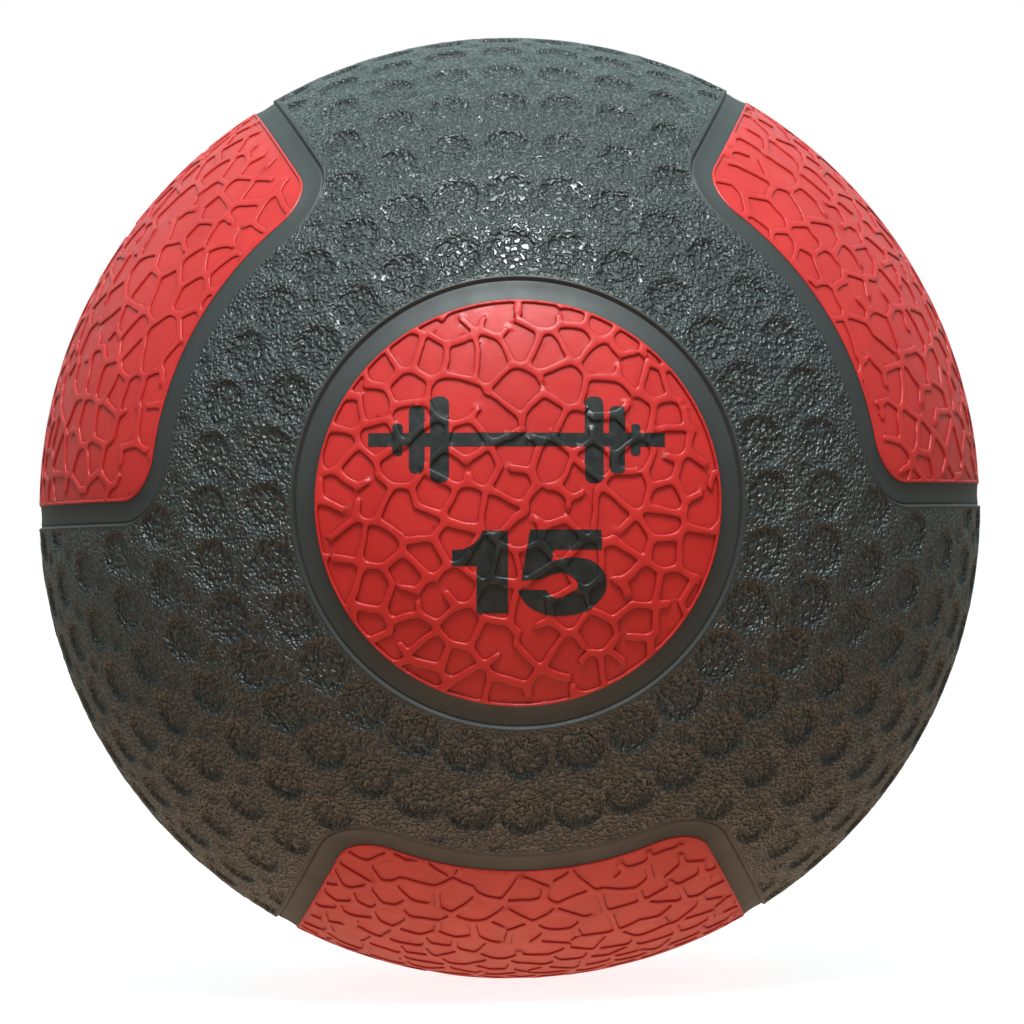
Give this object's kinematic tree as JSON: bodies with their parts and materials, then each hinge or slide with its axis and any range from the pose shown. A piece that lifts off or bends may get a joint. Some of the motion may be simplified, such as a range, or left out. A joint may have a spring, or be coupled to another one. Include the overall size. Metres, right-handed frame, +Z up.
{
  "type": "medicine ball",
  "caption": "Heavy inflatable rubber medicine ball with a pebbled, dimpled black cover, smooth channels and crackle-patterned red inlays.",
  "frame": {"origin": "centre of the ball", "axes": "+Z up, -Y out of the front disc's centre, +Y out of the inflation valve, +X to the right as seen from the front"},
  "size_m": [0.275, 0.274, 0.2746],
  "materials": {
    "cover_rubber": "satin black pebbled rubber with recessed dimples",
    "red_inlay": "semi-gloss red rubber with raised crackle veins",
    "print_ink": "black screen-printed ink, slight sheen",
    "weighted_rubber": "dull mineral-filled rubber",
    "nylon_thread": "wound nylon thread, tacky with cement",
    "butyl": "smooth butyl rubber",
    "valve_rubber": "smooth black moulded rubber"
  },
  "bodies": {
    "root": {"front_cover_half": "cover_rubber", "rear_cover_half": "cover_rubber", "front_disc_inlay": "red_inlay", "rear_disc_inlay": "red_inlay", "upper_right_side_panel": "red_inlay", "upper_left_side_panel": "red_inlay", "lower_side_panel": "red_inlay", "front_weight_number": "print_ink", "front_emblem": "print_ink", "rear_weight_number": "print_ink", "front_weighted_wall": "weighted_rubber", "rear_weighted_wall": "weighted_rubber", "nylon_winding": "nylon_thread", "air_bladder": "butyl", "valve_patch": "butyl", "valve_housing": "valve_rubber", "valve_plug": "valve_rubber"}
  },
  "joints": []
}
